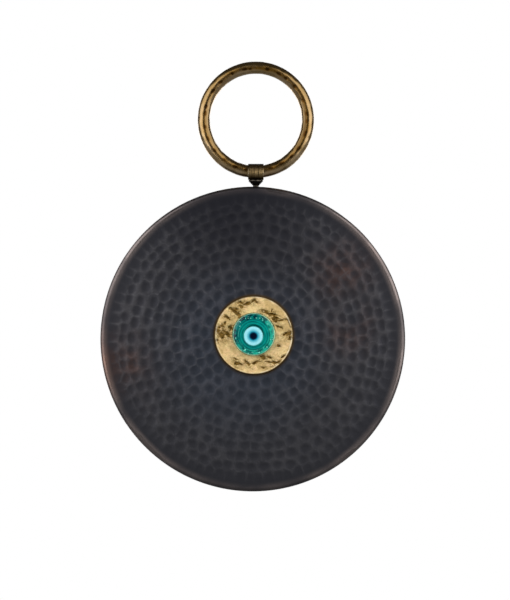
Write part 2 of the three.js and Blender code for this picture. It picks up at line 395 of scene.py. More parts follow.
class Material(Nodes):
    """A node material built up around one Principled shader."""

    def __init__(self, name, **constants):
        super().__init__(bpy.data.materials.new(name))
        self.shader = self.tree.nodes["Principled BSDF"]
        self.place = self.node("ShaderNodeTexCoord").outputs["Object"]
        self.set(**constants)

    def noise(self, size, detail=4, roughness=0.6, stretch=(1, 1, 1)):
        """Noise whose lumps are about size millimetres wide."""
        mapping = self.node("ShaderNodeMapping")
        mapping.inputs["Scale"].default_value = stretch
        self.link(self.place, mapping.inputs["Vector"])
        made = self.node("ShaderNodeTexNoise")
        made.inputs["Scale"].default_value = 1 / (size * MM)
        made.inputs["Detail"].default_value = detail
        made.inputs["Roughness"].default_value = roughness
        self.link(mapping.outputs[0], made.inputs["Vector"])
        return made.outputs["Fac"]

    def bump(self, height, distance):
        """distance is the relief in millimetres that a height of 1 stands for."""
        made = self.node("ShaderNodeBump")
        made.inputs["Distance"].default_value = distance * MM
        self.link(height, made.inputs["Height"])
        return made.outputs["Normal"]

    def set(self, **sources):
        """Feeds the shader's sockets, each named by a keyword such as base_color."""
        for key, source in sources.items():
            name = key.replace("_", " ").title().replace("Ior", "IOR")
            self.link(source, self.shader.inputs[name])


# ---- Pan ----

MARK_ROWS = 10
MARK_ROW_PITCH = 6.9
MARK_PITCH = 8.4
EDGE_MARK_PITCH = 6.5
FIRST_MARK_ROW = 30.0
LAST_MARK_ROW = 92.5
MARK_JITTER = 0.2
MARK_STRAY = 0.7
MARK_STRETCH = 1.18
EDGE_MARK_STRETCH = 0.7
MARK_DEPTH_SPREAD = 2.5
HAMMER_FACE_R = 34.0
RIDGE_SOFTNESS = 2.4
RELIEF_LIMIT = 0.26
# How much of a mark's height lies behind the smooth face.
RELIEF_LEVEL = 0.62
# How wide the painted highlight along each ridge is.
RIDGE_HIGHLIGHT_WIDTH = 0.42
POINTS_AT_ONCE = 8000

PAN_SEGMENTS = 620
FRONT_ROWS = 88
BACK_ROWS = 42
LIP_ROUND = 0.35
# The hammering begins at this radius and dies away between two distances from the edge's curve.
HAMMERED_R = 24.0
HAMMERED_FADE = (10.0, 0.6)
# How much of it shows on the back.
BACK_SHARE = 0.7
# Rows between these radii slide over to meet the screw hole, which is a little off the middle.
HOLE_SHIFT = (2, 20)

# Where copper shows through the dark skin: the patch's (x, z), size and strength.
COPPER_PATCHES = [
    ((58, 46), 11, 1.2),
    ((63, 6), 10, 0.9),
    ((-80, -22), 9, 0.4),
    ((-97, -10), 17, 0.8),
]
# How far in from the edge the rubbed band begins, and where it is full.
RUBBED_EDGE = (6.0, 2.0)
BLUE_PLACE = (-8, -6)
BLUE_SPAN = (20, 75)
# A painted shade: a darker patch near the top of the face.
TOP_SHADE_PLACE = (-12, 86)
TOP_SHADE_SIZE = (56, 46)


def hammer_blows():
    """Where each blow landed: (x, z) from the pan's middle, outward stretch, and extra depth."""
    rng = np.random.default_rng(11)
    blows = []
    for row in np.linspace(FIRST_MARK_ROW, LAST_MARK_ROW, MARK_ROWS):
        last = row == LAST_MARK_ROW
        count = round(2 * math.pi * row / (EDGE_MARK_PITCH if last else MARK_PITCH))
        angle = loose_angles(rng, count, MARK_JITTER)
        wander = 0 if last else 1.1 * np.sin(3 * angle + row) + 0.7 * np.sin(7 * angle - row)
        radius = row + wander + rng.uniform(-MARK_STRAY, MARK_STRAY, count)
        stretch = np.full(count, EDGE_MARK_STRETCH if last else MARK_STRETCH) * rng.uniform(0.9, 1.1, count)
        depth = rng.uniform(-MARK_DEPTH_SPREAD, MARK_DEPTH_SPREAD, count)
        blows.append(np.stack([radius * np.cos(angle), radius * np.sin(angle), stretch, depth], axis=1))
    return np.vstack(blows)


def hammered(points, blows):
    """Relief at (x, z) points, distance from the nearest blow, and distance from a ridge."""
    centres, stretch, depth = blows[:, :2], blows[:, 2], blows[:, 3]
    outward = centres / np.hypot(*centres.T)[:, None]
    relief, nearest, to_ridge = np.empty((3, len(points)))
    for part in np.array_split(np.arange(len(points)), 1 + len(points) // POINTS_AT_ONCE):
        away = points[part, None] - centres[None]
        out = (away * outward).sum(axis=2)
        square = (away**2).sum(axis=2) + (stretch**2 - 1) * out**2 + depth
        near = np.partition(square, (0, 1, 2), axis=1)[:, :3]
        lowest = near[:, 0]
        blend = np.exp((lowest[:, None] - near) / RIDGE_SOFTNESS).sum(axis=1)
        relief[part] = (lowest - RIDGE_SOFTNESS * np.log(blend)) / (2 * HAMMER_FACE_R)
        nearest[part] = np.sqrt(np.maximum(lowest, 0))
        to_ridge[part] = (near[:, 1] - lowest) / (2 * MARK_ROW_PITCH)
    return np.minimum(relief, RELIEF_LIMIT), nearest, to_ridge


def pan_outline():
    """The pan's section, from the hole in the face round the edge to the hole in the back.

    Each row is (radius, y, how much of the hammering it takes).
    """
    edge_r = PAN_R - PAN_EDGE_R
    edge_y = PAN_EDGE_Y + PAN_EDGE_R
    inside_r = PAN_R - PAN_SHEET
    fade_start, fade_end = (edge_r - gap for gap in HAMMERED_FADE)

    def face(radii, back, share):
        radii = np.asarray(radii)
        y = PAN_EDGE_Y - PAN_CROWN * (1 - (radii / edge_r) ** 2) + back
        return np.stack([radii, y, share * (1 - smoothstep(fade_start, fade_end, radii))], axis=1)

    def arc(radius, start, end, steps):
        t = np.radians(np.linspace(start, end, steps + 1))
        return np.stack([edge_r + radius * np.cos(t), edge_y + radius * np.sin(t), 0 * t], axis=1)

    lip = [(PAN_R, edge_y), (PAN_R, PAN_HIGH[1]), (inside_r, PAN_HIGH[1]), (inside_r, edge_y)]
    lip = rounded(lip, LIP_ROUND)
    lip = np.hstack([lip, np.zeros((len(lip), 1))])
    return np.vstack([
        face([M3.hole_r, 9.0, 17.0], 0, 0),
        face(np.linspace(HAMMERED_R, edge_r, FRONT_ROWS), 0, 1),
        arc(PAN_EDGE_R, -90, 0, 9)[1:],
        lip[1:-1],
        arc(PAN_EDGE_R - PAN_SHEET, 0, -90, 5),
        face(np.linspace(edge_r, HAMMERED_R, BACK_ROWS), PAN_SHEET, BACK_SHARE)[1:],
        face([12.0, M3.hole_r], PAN_SHEET, 0),
    ])


def pan_color_masks(flat):
    """How the dark skin's colour shifts at (x, z) points from the pan's middle, each from 0 to 1."""
    clouds = Noise(seed=5)(flat, 16, 3)
    copper = np.zeros(len(flat))
    for place, size, strength in COPPER_PATCHES:
        copper += strength * np.exp(-((flat - place) ** 2).sum(axis=1) / (2 * size**2))
    rub_start, rub_end = (PAN_R - gap for gap in RUBBED_EDGE)
    edge = smoothstep(rub_start, rub_end, np.hypot(*flat.T))
    return {
        "copper": np.clip(copper * (0.75 + 0.6 * clouds), 0, 1),
        "edge": np.clip(edge * (0.75 + 0.5 * clouds), 0, 1),
        "blue": 1 - smoothstep(*BLUE_SPAN, np.hypot(*(flat - BLUE_PLACE).T)),
        "sooty": np.exp(-(((flat - TOP_SHADE_PLACE) / TOP_SHADE_SIZE) ** 2).sum(axis=1)),
    }


def hammering_masks(flat, y, share, nearest, to_ridge):
    """Painted light on the hammering: lighter ground away from each blow's middle, a painted highlight along
    each ridge, and painted shade with patina in the medallion's corner.
    """
    ragged = nearest + 0.7 * Noise(seed=7)(np.column_stack([flat, y]), 3.0, 2)
    # The painted contrast between the blows and the ground round them, and the ridge highlight, are weaker
    # towards the bottom and at the far left and right.
    lower = smoothstep(10, -70, flat[:, 1])
    outer = smoothstep(40, 75, np.abs(flat[:, 0]))
    clear = 1 - 0.42 * lower - 0.15 * outer
    to_medallion = np.hypot(*(flat - HOLE_PLACE).T)
    return {
        "rise": share * (0.5 + clear * (smoothstep(2.0, 4.4, ragged) - 0.5)),
        "vein": share * clear * bell(to_ridge / RIDGE_HIGHLIGHT_WIDTH),
        # Painted shade with patina: a dark brown ring on the pan round the medallion's edge.
        "corner": (share > BACK_SHARE) * bell(to_medallion - MEDALLION_R),
    }


def make_pan():
    rows = pan_outline()
    angle = round_angles(PAN_SEGMENTS)
    flat = np.stack([np.outer(rows[:, 0], np.cos(angle)), np.outer(rows[:, 0], np.sin(angle))], axis=-1)
    to_hole = 1 - smoothstep(*HOLE_SHIFT, rows[:, 0])
    flat = (flat + to_hole[:, None, None] * HOLE_PLACE).reshape(-1, 2)
    share = np.repeat(rows[:, 2], PAN_SEGMENTS)
    relief, nearest, to_ridge = hammered(flat, hammer_blows())
    level = RELIEF_LEVEL * (MARK_ROW_PITCH / 2) ** 2 / (2 * HAMMER_FACE_R)
    y = np.repeat(rows[:, 1], PAN_SEGMENTS) - share * (relief - level)
    attributes = {**pan_color_masks(flat), **hammering_masks(flat, y, share, nearest, to_ridge)}
    points = placed(flat, y, PAN_MIDDLE)
    piece = loop_piece("hammered_pan", points, PAN_SEGMENTS, attributes, sharp_angle=60)
    rim_hole = (HANGER_AXIS[0], HANGER_AXIS[1], PAN_HIGH[2] - PAN_SHEET)
    cut_hole(piece, rim_hole, M2.hole_r, "Z", 2.5)
    return piece


def pan_material():
    m = Material("oxidised_copper", metallic=1.0)
    fine = m.noise(1.6, 5, 0.7)
    patchy = m.span(m.noise(11, 4), 0.3, 0.7)
    dark = m.mix("blue", (0.048, 0.048, 0.056), (0.047, 0.054, 0.070))
    light = m.mix("blue", (0.091, 0.089, 0.097), (0.087, 0.093, 0.115))
    # Painted shade and highlight: the middles of the blows darker and the ground between them lighter,
    # standing in for how the hammered relief catches the light.
    rise = m.times("rise", m.span(patchy, 0.0, 1.0, 0.45, 1.0))
    skin = m.mix(rise, dark, light)
    copper = m.times("copper", m.span(m.noise(6, 4), 0.35, 0.62, 0.3, 0.85))
    skin = m.mix(copper, skin, m.mix(rise, (0.078, 0.048, 0.042), (0.165, 0.098, 0.084)))
    # A painted highlight along the ridges between the blows.
    vein = m.times("vein", m.span(m.noise(7, 4), 0.35, 0.68))
    skin = m.mix(m.times(vein, 0.5), skin, (0.160, 0.156, 0.170))
    edge = m.times("edge", m.span(fine, 0.3, 0.7, 0.8, 1.0))
    rubbed = m.mix("copper", (0.205, 0.170, 0.160), (0.245, 0.155, 0.125))
    skin = m.mix(edge, skin, rubbed)
    # Painted shade: darker in a patch near the top.
    skin = m.mix(m.times("sooty", 0.75), skin, (0.020, 0.020, 0.026))
    # Painted shade with patina: a dark brown ring round the medallion's edge.
    skin = m.mix("corner", skin, (0.085, 0.052, 0.020))
    m.set(base_color=skin, roughness=m.span("edge", 0.85, 1.0, 0.45, 0.33))
    m.set(normal=m.bump(fine, 0.02))
    return m.data


# ---- Ring ----

RING_SEGMENTS = 440
WIRE_SEGMENTS = 48
RING_SWELL = 0.16
RING_UNEVENNESS = 0.03
RING_MARK_PITCH = 8.2
RING_MARK_ROWS = 6
RING_MARK_JITTER = 0.3
RING_MARK_LENGTHS = (1.3, 2.4)
RING_MARK_WIDTH = 1.45
RING_MARK_DEPTH = 0.15
# Turns round the wire: from its outside to its front, and from there inward to each row or band.
TO_FRONT = math.pi / 2
MARKS_TURN = 0.2
MARKS_STRAY = 0.16
# Where the painted dark reflection along the wire's front runs, and how wide it is.
DARK_BAND_TURN, DARK_BAND_WIDTH = 0.08, 0.34
# Where the painted shade on the wire's inner flank runs, and how wide it is.
SHADE_TURN, SHADE_WIDTH = 0.42, 0.32


def wire_points(along, around, radius):
    """Points on the ring's wire: along turns round the ring from its top, around 0 is its outside."""
    out = RING_MEAN_R + radius * np.cos(around)
    x = RING_MIDDLE[0] + out * np.sin(along)
    y = RING_MIDDLE[1] - radius * np.sin(around)
    z = RING_MIDDLE[2] + out * np.cos(along)
    return np.stack([x, y, z], axis=-1)


def short_way(angle):
    """The same angle, from minus half a turn to half a turn."""
    return (angle + math.pi) % (2 * math.pi) - math.pi


def ring_dents(along, around):
    """How deep the hammer marks are, from 0 to 1, over the wire."""
    rng = np.random.default_rng(23)
    count = round(2 * math.pi * RING_MEAN_R / RING_MARK_PITCH)
    depth = np.zeros(len(along))
    for k in range(RING_MARK_ROWS):
        places = loose_angles(rng, count, RING_MARK_JITTER)
        row_turn = TO_FRONT + MARKS_TURN + 2 * math.pi * k / RING_MARK_ROWS
        turns = row_turn + rng.uniform(-MARKS_STRAY, MARKS_STRAY, count)
        for place, turn, length in zip(places, turns, rng.uniform(*RING_MARK_LENGTHS, count)):
            far = short_way(along - place) * RING_MEAN_R / length
            over = short_way(around - turn) * WIRE_R / RING_MARK_WIDTH
            depth = np.maximum(depth, np.exp(-(far**2) - over**2))
    return depth


def ring_masks(along, around, surface, depth):
    """Where the brass takes a painted dark reflection along its front with patina in its dents, painted shade
    on its inner flank and darker dents in the front band, and how far it faces up, each from 0 to 1.
    """
    right = 0.5 + 0.5 * np.sin(along)
    patches = Noise(seed=33)(surface, 6, 2)
    # A painted dark reflection along the wire's front, stronger on the right, with the patina in the dents
    # added in.
    dark_band_turn = TO_FRONT + DARK_BAND_TURN + 0.06 * right + 0.16 * Noise(seed=34)(surface, 6)
    front = bell((around - dark_band_turn) / DARK_BAND_WIDTH)
    patchy = 0.65 + 0.3 * right + 0.25 * patches
    # Painted shade on the inner flank: stronger on the right and in patches, and fading out at the top.
    inside = bell((around - TO_FRONT - SHADE_TURN) / SHADE_WIDTH)
    shade_strength = np.clip(0.45 + 0.6 * right + 0.3 * np.cos(along) + 0.3 * patches, 0, 1)
    return {
        "stain": np.clip(front * patchy + 0.25 * depth, 0, 1),
        "shade": inside * shade_strength * (1 - np.maximum(np.cos(along), 0) ** 2),
        "spot": front * depth,
        "upward": 0.5 + 0.5 * np.cos(around) * np.cos(along),
    }


def make_ring():
    along = np.repeat(round_angles(RING_SEGMENTS), WIRE_SEGMENTS)
    around = np.tile(round_angles(WIRE_SEGMENTS), RING_SEGMENTS)
    surface = wire_points(along, around, WIRE_R)
    depth = ring_dents(along, around)
    swell = RING_SWELL + RING_UNEVENNESS * Noise(seed=31)(surface, 5, 2)
    points = wire_points(along, around, WIRE_R + swell - RING_MARK_DEPTH * depth)
    masks = ring_masks(along, around, surface, depth)
    return loop_piece("hammered_ring", points, WIRE_SEGMENTS, masks, sharp_angle=60)


def ring_material():
    m = Material("antique_brass", metallic=1.0)
    cloud = m.span(m.noise(8, 3), 0.35, 0.65)
    rubbed = m.mix(cloud, (0.55, 0.395, 0.225), (0.42, 0.290, 0.135))
    # Darker where the wire faces up.
    facing_up_dark = m.mix(cloud, (0.19, 0.125, 0.050), (0.15, 0.096, 0.035))
    brass = m.mix(m.span("upward", 0.25, 0.75), rubbed, facing_up_dark)
    # Painted dark reflection along the front, with patina in the dents.
    dark_band_noise = m.span(m.noise(3, 3), 0.3, 0.6, 0.7, 1.0)
    stain = m.math("MULTIPLY", "stain", dark_band_noise, clamp=True)
    brass = m.mix(stain, brass, (0.29, 0.140, 0.015))
    # Painted shade on the inner flank.
    brass = m.mix("shade", brass, (0.075, 0.045, 0.017))
    # The dents in the front band are darker still: patina in them, with the painted dark reflection.
    brass = m.mix(m.span("spot", 0.2, 0.6, 0.0, 0.92), brass, (0.060, 0.024, 0.004))
    m.set(base_color=brass, roughness=m.span(m.noise(3, 3), 0.3, 0.7, 0.22, 0.3))
    m.set(normal=m.bump(m.noise(2, 2), 0.008))
    return m.data


# ---- Strap and collar ----

STRAP_SHEET = 0.8
STRAP_SIDE_R = 5.6
STRAP_CORNER_R = 1.6
STRAP_ROUND = 0.2
STRAP_UNEVENNESS = 0.04
# A painted light band across the strap, partly wear: lighter round a height a little below its middle, darker
# above and below it.
LIT_BAND_DROP = 1.2
LIT_BAND_WIDTH = 1.7
# How far in from the strap's sides the painted highlight along its edges begins, and where it is full.
EDGE_HIGHLIGHT_SPAN = (0.5, 0.1)
HEAD_GAP = 0.1

COLLAR_FOOT_R = 2.1
COLLAR_WAIST_R = 1.9
COLLAR_WAIST_LOW = 0.3
COLLAR_WAIST_HIGH = 0.6
COLLAR_LAND = 0.95
COLLAR_LAND_TAPER = 0.1
# Across and down.
COLLAR_BEVEL = (0.25, 0.45)
COLLAR_ROUND = 0.22


def strap_path():
    """The middle of the strap's sheet, seen from the side, as (y, z) points and outward normals."""
    low, high = box_mm("ring_strap")
    radius = (high[1] - low[1] - STRAP_SHEET) / 2
    axis_z = high[2] - radius - STRAP_SHEET / 2
    corner_z = low[2] + STRAP_SHEET / 2 + STRAP_CORNER_R
    turn = STRAP_SIDE_R - STRAP_CORNER_R
    bend = math.asin((axis_z - corner_z) / turn)
    side_y = radius - STRAP_SIDE_R
    corner_y = side_y + turn * math.cos(bend)
    bend = math.degrees(bend)
    arcs = [
        (0, axis_z, radius, 0, 180, 30, False),
        (-side_y, axis_z, STRAP_SIDE_R, 180, 180 + bend, 10, False),
        (-corner_y, corner_z, STRAP_CORNER_R, 180 + bend, 270, 6, True),
        (corner_y, corner_z, STRAP_CORNER_R, 270, 360 - bend, 6, False),
        (side_y, axis_z, STRAP_SIDE_R, 360 - bend, 360, 10, False),
    ]
    points, normals = [], []
    for y, z, r, start, end, steps, keeps_end in arcs:
        for t in np.radians(np.linspace(start, end, steps, endpoint=keeps_end)):
            direction = np.array([math.cos(t), math.sin(t)])
            points.append(np.array([y, z]) + r * direction)
            normals.append(direction)
    return np.array(points), np.array(normals)


def make_strap():
    half = half_width("ring_strap")
    sheet = STRAP_SHEET / 2
    corners = [(half, 0), (half, sheet), (-half, sheet), (-half, -sheet), (half, -sheet), (half, 0)]
    across, out = dense(rounded(corners, STRAP_ROUND, steps=4), STRAP_ROUND)[:-1].T
    sections = []
    for (y, z), (ny, nz) in zip(*strap_path()):
        sections.append(np.stack([across, y + out * ny, z + out * nz], axis=1))
    points = np.vstack(sections)
    points[:, 0] += STRAP_UNEVENNESS * Noise(seed=41)(points, 5)
    # Painted light band with wear, a little below the strap's middle.
    worn = bell((points[:, 2] - middle("ring_strap")[2] + LIT_BAND_DROP) / LIT_BAND_WIDTH)
    # A painted highlight with wear along the strap's side edges, within the light band.
    edge_start, edge_end = (half - gap for gap in EDGE_HIGHLIGHT_SPAN)
    masks = {"worn": worn, "edge": worn * smoothstep(edge_start, edge_end, np.abs(points[:, 0]))}
    piece = loop_piece("bent_strap", points, len(across), masks, sharp_angle=50)
    # The seat for the screw's head, cut from below the sheet to above it.
    bottom = box_mm("ring_strap")[0][2] - sheet
    top = bottom + 2 * STRAP_SHEET
    seat_r = M2.head_r + HEAD_GAP + sheet
    seat = [(0, bottom), (seat_r - (top - bottom), bottom), (seat_r, top), (0, top)]
    cut(piece, turned("countersink", seat, HANGER_AXIS, "Z", 48))
    return piece


def strap_material():
    m = Material("brushed_antique_brass", metallic=1.0)
    lines = m.noise(0.55, 3, 0.6, stretch=(1, 0.06, 0.06))
    cloud = m.span(m.noise(5, 3), 0.35, 0.65)
    brass = m.mix(cloud, (0.41, 0.29, 0.138), (0.31, 0.207, 0.092))
    # Painted light and shade with wear: the band brighter, the strap darker above and below it.
    brass = m.mix("worn", (0.10, 0.066, 0.030), brass)
    brass = m.mix(m.span(lines, 0.38, 0.58), (0.05, 0.032, 0.012), brass)
    # A painted highlight with wear along the side edges.
    m.set(base_color=m.mix("edge", brass, (0.62, 0.50, 0.32)))
    m.set(roughness=m.span(lines, 0.3, 0.7, 0.42, 0.32))
    m.set(normal=m.bump(lines, 0.3))
    return m.data


def make_collar():
    """A cone that widens from a waist near the pan's edge to a narrow land under the strap."""
    low, high = box_mm("hanger_collar")
    top, bottom = high[2], low[2]
    radius = half_width("hanger_collar")
    bevel, bevel_height = COLLAR_BEVEL
    outline = [
        (M2.hole_r, bottom),
        (COLLAR_FOOT_R, bottom),
        (COLLAR_WAIST_R, bottom + COLLAR_WAIST_LOW),
        (COLLAR_WAIST_R, bottom + COLLAR_WAIST_HIGH),
        (radius - COLLAR_LAND_TAPER, top - COLLAR_LAND),
        (radius, top - bevel_height),
        (radius - bevel, top),
        (M2.hole_r, top),
    ]
    outline = dense(rounded(outline, COLLAR_ROUND), 0.3)
    return turned("turned_collar", outline, HANGER_AXIS, "Z", 72, closed=True)


def collar_material():
    m = Material("dark_bronze", metallic=1.0)
    rings = m.noise(0.3, 3, 0.6, stretch=(0.05, 0.05, 1))
    bronze = m.mix(m.span(m.noise(2, 4), 0.35, 0.7), (0.030, 0.027, 0.023), (0.11, 0.095, 0.075))
    m.set(base_color=bronze, roughness=0.34, normal=m.bump(rings, 0.02))
    return m.data


# ---- Fasteners ----

HEAD_LAND = 0.2
DRIVE_SLOT = 0.6
THREAD_DEPTH = 0.4
TIP_BEVEL = 0.25
BORE_BEVEL = 0.25
FASTENER_ROUND = 0.1
NUT_FACE_SHARE = 0.94
NUT_BEVEL_ANGLE = 30
NUT_ROUND = 0.04


def thread(pitch, start, end):
    """A swell for turned() that cuts a helical groove between two heights."""

    def swell(angle, height):
        groove = 0.5 + 0.5 * np.cos(2 * math.pi * (height / pitch) - angle)
        inside = smoothstep(start, start + pitch, height) * (1 - smoothstep(end - pitch / 2, end, height))
        return -THREAD_DEPTH * pitch * groove * inside

    return swell


def cut_slot(piece, centre, size):
    """Cuts a square-cornered slot, given in millimetres, out of a piece."""
    corners = np.array(list(itertools.product((-0.5, 0.5), repeat=3))) * size + centre
    sides = [(0, 1, 3, 2), (4, 6, 7, 5), (0, 4, 5, 1), (2, 3, 7, 6), (0, 2, 6, 4), (1, 5, 7, 3)]
    cut(piece, new_piece("slot", corners, sides))


def make_screw(name, node, size, axis):
    """A slotted countersunk screw. Along Z its head is up, and along Y it faces forward."""
    low, high = box_mm(node)
    top, tip = (low[1], high[1]) if axis == "Y" else (high[2], low[2])
    down = math.copysign(1, tip - top)
    length = abs(tip - top)
    under = size.head + HEAD_LAND
    outline = [
        (0, 0),
        (size.head_r, 0),
        (size.head_r, HEAD_LAND),
        (size.shank_r, under),
        (size.shank_r, length - TIP_BEVEL),
        (size.shank_r - TIP_BEVEL, length),
        (0, length),
    ]
    outline = dense(rounded(outline, FASTENER_ROUND), 0.07)
    outline[:, 1] = top + down * outline[:, 1]
    start, end = sorted((top + down * (under + HEAD_LAND), tip))
    place = middle(node)
    piece = turned(name, outline, place, axis, 36, swell=thread(size.pitch, start, end))
    place[COLUMN[axis]] = top
    slot = np.full(3, DRIVE_SLOT)
    slot[0] = 3 * size.head_r
    slot[COLUMN[axis]] = size.head
    cut_slot(piece, place, slot)
    return piece


def make_nut(name, node, size, axis):
    """A hexagonal nut whose corners are cut back to a cone at both faces."""
    low, high = box_mm(node)
    bottom, top = low[COLUMN[axis]], high[COLUMN[axis]]
    angle = round_angles(120)
    hexagon = size.flats / 2 / np.cos((angle + math.pi / 6) % (math.pi / 3) - math.pi / 6)
    bore = np.full(len(angle), size.bore_r)
    face = np.full(len(angle), size.flats / 2 * NUT_FACE_SHARE)
    drop = (hexagon - face) * math.tan(math.radians(NUT_BEVEL_ANGLE))
    half = [
        (bore, BORE_BEVEL + 0 * angle),
        (bore + BORE_BEVEL, 0 * angle),
        (face, 0 * angle),
        (hexagon - NUT_ROUND, drop - NUT_ROUND / 2),
        (hexagon, drop + 1.5 * NUT_ROUND),
    ]
    sections = [(r, bottom + h) for r, h in half] + [(r, top - h) for r, h in reversed(half)]
    rows = [axis_points(r, angle, h, middle(node), axis) for r, h in sections]
    return loop_piece(name, np.vstack(rows), len(angle), sharp_angle=25)


def make_washer(name, node, size, axis):
    low, high = box_mm(node)
    bottom, top = low[COLUMN[axis]], high[COLUMN[axis]]
    radius = half_width(node)
    corners = [(size.hole_r, bottom), (radius, bottom), (radius, top), (size.hole_r, top)]
    outline = rounded(corners + corners[:2], FASTENER_ROUND)[1:-1]
    return turned(name, outline, middle(node), axis, 64, closed=True)


def steel_material():
    m = Material("zinc_plated_steel", metallic=1.0)
    m.set(base_color=m.mix(m.noise(1.5, 4), (0.42, 0.41, 0.38), (0.62, 0.61, 0.58)))
    m.set(roughness=m.span(m.noise(0.6, 4), 0.3, 0.7, 0.26, 0.4), normal=m.bump(m.noise(0.3, 3), 0.01))
    return m.data


# ---- Medallion ----

MEDALLION_SEGMENTS = 480
MEDALLION_EDGE_R = 0.6
FACE_ROWS = 60
POCKET_LIP = 0.17
COUNTERSINK_DEPTH = 1.2
GOUGE_DEPTH = 0.42
WAVE_DEPTH = 0.3
GOUGE_WARP = 0.42
RIM_HIGHLIGHT_INSET, RIM_HIGHLIGHT_WIDTH = 0.95, 0.33
# Gouges in the medallion, in millimetres from its middle: x, z, length, width, and tilt in degrees.
GOUGES = [
    (-7.5, 21.1, 5.0, 0.8, -8), (-3.8, 20.8, 3.6, 1.5, 5), (-0.6, 22.0, 2.6, 1.3, 35),
    (1.6, 21.9, 2.6, 1.0, -20), (-7.8, 18.5, 2.6, 0.9, 0), (-14.6, 17.1, 2.6, 1.0, -15),
    (-12.0, 15.6, 3.6, 2.4, -30), (-9.7, 12.8, 3.4, 1.4, -50), (-17.7, 11.7, 3.0, 1.0, -25),
    (-20.8, 6.4, 2.4, 1.1, 10), (-19.0, 7.6, 1.4, 0.9, 60), (-15.2, 5.0, 2.2, 1.9, 20),
    (-23.6, 2.4, 2.6, 2.5, -30), (-21.6, 0.2, 4.2, 2.3, -50), (-18.0, 1.5, 4.8, 1.9, -42),
    (-24.0, -3.6, 1.8, 1.3, 0), (-22.8, 4.9, 1.6, 0.8, 40), (5.4, 15.8, 2.6, 1.3, 0),
    (8.4, 15.0, 3.0, 1.2, -15), (11.2, 15.6, 1.6, 0.8, 60), (10.6, 13.8, 2.6, 1.6, -40),
    (13.6, 12.9, 2.6, 1.6, -30), (14.9, 11.3, 2.4, 1.2, -60), (12.6, 10.4, 1.8, 1.4, -30),
    (14.4, 9.4, 3.0, 1.2, 0), (17.6, 9.5, 3.0, 0.8, 15), (15.6, 6.0, 2.8, 0.8, -25),
    (21.4, 10.3, 2.8, 0.5, -20), (23.4, 7.5, 4.0, 0.4, -72), (23.4, 1.2, 2.2, 2.0, 90),
    (21.6, 0.8, 1.6, 1.3, 20), (19.6, 0.1, 1.4, 0.9, 30), (23.4, -2.3, 2.4, 1.3, 20),
    (16.0, -6.7, 1.6, 1.1, -20), (6.2, -14.4, 3.4, 1.3, -12), (9.6, -14.4, 3.2, 0.9, -10),
    (10.0, -17.7, 3.6, 0.8, 0), (13.3, -18.4, 2.8, 1.5, -12), (15.9, -17.7, 2.4, 0.8, 30),
    (0.6, -17.9, 4.0, 0.8, 14), (-3.1, -19.7, 2.6, 1.5, -25), (-5.3, -17.3, 1.6, 1.2, 0),
    (-11.6, -18.1, 2.2, 1.8, -20), (-9.6, -18.8, 2.4, 0.7, -10), (-12.0, -15.4, 2.4, 0.8, -20),
    (6.2, -21.2, 2.2, 0.9, -10), (19.0, -14.0, 2.4, 0.7, 25),
]


def gouged(points):
    """How deep the gouges and the tarnish round them are at (x, z) points, from 0 to 1."""
    noise = Noise(seed=61)
    space = np.column_stack([points, np.zeros(len(points))])
    warp = np.stack([noise(space, 2.2, 3), noise(space + 40, 2.2, 3)], axis=1)
    rough = 0.6 * noise(space * (0.5, 1, 1) + 80, 1.2, 3)
    warped = points + GOUGE_WARP * warp
    depth, halo = np.zeros((2, len(points)))
    for x, z, length, width, tilt in GOUGES:
        t = math.radians(tilt)
        away = warped - (x, z)
        along = away @ (math.cos(t), math.sin(t))
        across = away @ (-math.sin(t), math.cos(t))
        reach = np.hypot(along / (0.70 * length), across / (0.78 * width)) + rough
        depth = np.maximum(depth, smoothstep(1.7, 0.3, reach))
        halo = np.maximum(halo, smoothstep(3.2, 0.8, reach))
    return depth, halo


def medallion_sections(around):
    """The medallion's section as rows of (x, z) points and y, from the screw hole's back and out."""
    front, back = MEDALLION_LOW[1], MEDALLION_HIGH[1]
    floor = front + POCKET_DEPTH
    inner = POCKET_PLACE + POCKET_R * around
    outer = (MEDALLION_R - MEDALLION_EDGE_R) * around
    sections = [
        (M3.hole_r * around, back),
        (M3.hole_r * around, floor + COUNTERSINK_DEPTH),
        ((M3.head_r + 0.1) * around, floor),
        (POCKET_PLACE + 7 * around, floor),
        (inner, floor),
        (inner, front + 0.45),
        (inner - POCKET_LIP * around, front + 0.15),
        (inner - (POCKET_LIP - 0.05) * around, front + 0.03),
    ]
    sections += [(inner + (outer - inner) * t, front) for t in np.linspace(0, 1, FACE_ROWS)]
    for t in np.radians([18, 36, 54, 72, 90]):
        turn = outer + MEDALLION_EDGE_R * math.sin(t) * around
        sections.append((turn, front + MEDALLION_EDGE_R * (1 - math.cos(t))))
    return sections + [(MEDALLION_R * around, back - 0.1), ((MEDALLION_R - 0.1) * around, back)]


def medallion_masks(flat, on_face):
    """Where the brass is gouged, tarnished, uneven, lit by a painted highlight at the rim or darkened by
    painted shade and patina at the side, from 0 to 1.
    """
    x, z = flat.T / MEDALLION_R
    radius = np.hypot(*flat.T)
    depth, halo = np.array(gouged(flat)) * on_face
    waves = 0.5 + 0.5 * Noise(seed=71)(flat, 4.5, 4)
    # A painted highlight round the rim, stronger to the right.
    rim = bell((radius - MEDALLION_R + RIM_HIGHLIGHT_INSET) / RIM_HIGHLIGHT_WIDTH)
    to_right = smoothstep(-0.6, 0.8, x + 0.25 * z)
    # Painted shade with patina: dark off the face, and in a band round the face's edge that is wider at the
    # top and bottom.
    upright = np.abs(z) ** 3
    side = smoothstep(MEDALLION_R - 0.75 - 0.3 * upright, MEDALLION_R - 0.25 - 0.1 * upright, radius)
    return {
        "gouge": depth,
        "halo": halo,
        "waves": waves,
        "rim": rim * (0.5 + 0.5 * to_right),
        "side": np.maximum(1 - on_face, side),
    }


